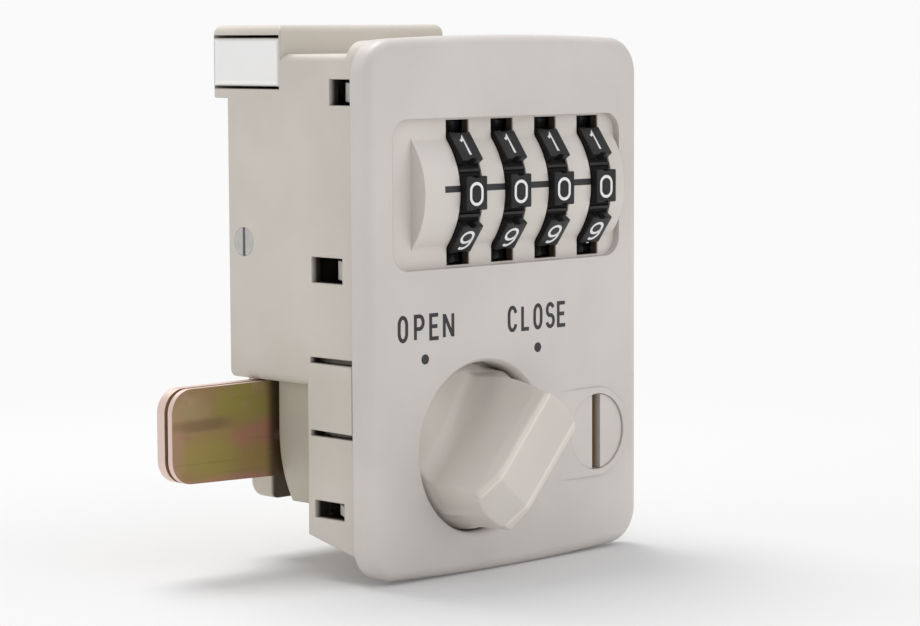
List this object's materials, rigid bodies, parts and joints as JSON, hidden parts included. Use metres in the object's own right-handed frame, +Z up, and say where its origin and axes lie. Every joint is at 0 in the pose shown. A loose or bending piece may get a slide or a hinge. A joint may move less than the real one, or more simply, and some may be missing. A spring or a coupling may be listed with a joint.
{
  "type": "combination locker lock",
  "caption": "Snap-in locker lock with black number dials in a window, a turn knob that swings a steel cam bolt behind the door, and a master key cylinder.",
  "frame": {"origin": "middle of the front plate's rear rim, in the plane that lies against the door's outer face", "axes": "+X right seen from outside the door, +Y through the door into the locker, +Z up"},
  "size_m": [0.0729, 0.0482, 0.0816],
  "materials": {
    "plate": "fine satin, warm light grey",
    "dial_cover": "fine satin, warm light grey",
    "housing": "matt, light grey",
    "inner_case": "matt, grey",
    "rear_cover": "matt, light grey",
    "knob": "fine satin, warm light grey",
    "dial": "satin black with white digits",
    "white_block": "glossy white",
    "bolt": "yellow zinc plated, iridescent",
    "key_plug": "satin nickel",
    "screws": "bright zinc",
    "side_screw": "satin zinc",
    "steel": "plain",
    "spring_steel": "plain, sprung",
    "brass": "plain"
  },
  "bodies": {
    "lock_case": {"front_plate": "plate", "dial_cover": "dial_cover", "housing": "housing", "inner_case": "inner_case", "rear_cover": "rear_cover", "cover_screws": "screws", "side_screw": "side_screw", "dial_axle": "steel", "axle_bush": "brass", "detent_leaf": "spring_steel", "block_spring": "spring_steel"},
    "dial_1": {"dial_wheel_1": "dial", "code_ring_1": "brass"},
    "dial_2": {"dial_wheel_2": "dial", "code_ring_2": "brass"},
    "dial_3": {"dial_wheel_3": "dial", "code_ring_3": "brass"},
    "dial_4": {"dial_wheel_4": "dial", "code_ring_4": "brass"},
    "knob_and_bolt": {"knob": "knob", "spindle": "steel", "lift_cam": "steel", "cam_washer": "steel", "bolt_plate_front": "bolt", "bolt_spacer": "steel", "bolt_plate_rear": "bolt", "cam_screw": "screws"},
    "lock_bar": {"locking_bar": "steel"},
    "key_cylinder": {"key_plug": "key_plug", "key_tail": "steel", "tail_clip": "steel"},
    "side_block": {"push_block": "white_block"}
  },
  "joints": [
    {"name": "dial_1_spin", "type": "hinge", "parent": "lock_case", "child": "dial_1", "pos_m": [-0.00996, 0.00492, 0.0169], "axis": [1, 0, 0], "continuous": true},
    {"name": "dial_2_spin", "type": "hinge", "parent": "lock_case", "child": "dial_2", "pos_m": [-0.00064, 0.00492, 0.0169], "axis": [1, 0, 0], "continuous": true},
    {"name": "dial_3_spin", "type": "hinge", "parent": "lock_case", "child": "dial_3", "pos_m": [0.00868, 0.00492, 0.0169], "axis": [1, 0, 0], "continuous": true},
    {"name": "dial_4_spin", "type": "hinge", "parent": "lock_case", "child": "dial_4", "pos_m": [0.018, 0.00492, 0.0169], "axis": [1, 0, 0], "continuous": true},
    {"name": "knob_turn", "type": "hinge", "parent": "lock_case", "child": "knob_and_bolt", "pos_m": [-0.00634, 0, -0.02125], "axis": [0, -1, 0], "range_deg": [0, 82]},
    {"name": "bar_lift", "type": "slide", "parent": "lock_case", "child": "lock_bar", "axis": [0, 0, 1], "range_m": [0, 0.00082]},
    {"name": "key_turn", "type": "hinge", "parent": "lock_case", "child": "key_cylinder", "pos_m": [0.01856, 0, -0.02125], "axis": [0, 1, 0], "range_deg": [0, 90]},
    {"name": "block_push", "type": "slide", "parent": "lock_case", "child": "side_block", "axis": [1, 0, 0], "range_m": [0, 0.003], "stiffness_N_per_m": 300, "springref_m": -0.002, "deforming": ["block_spring"]}
  ],
  "couplings": [
    {"joint": "bar_lift", "follows": "knob_turn", "m_per_rad": 0.000559}
  ]
}
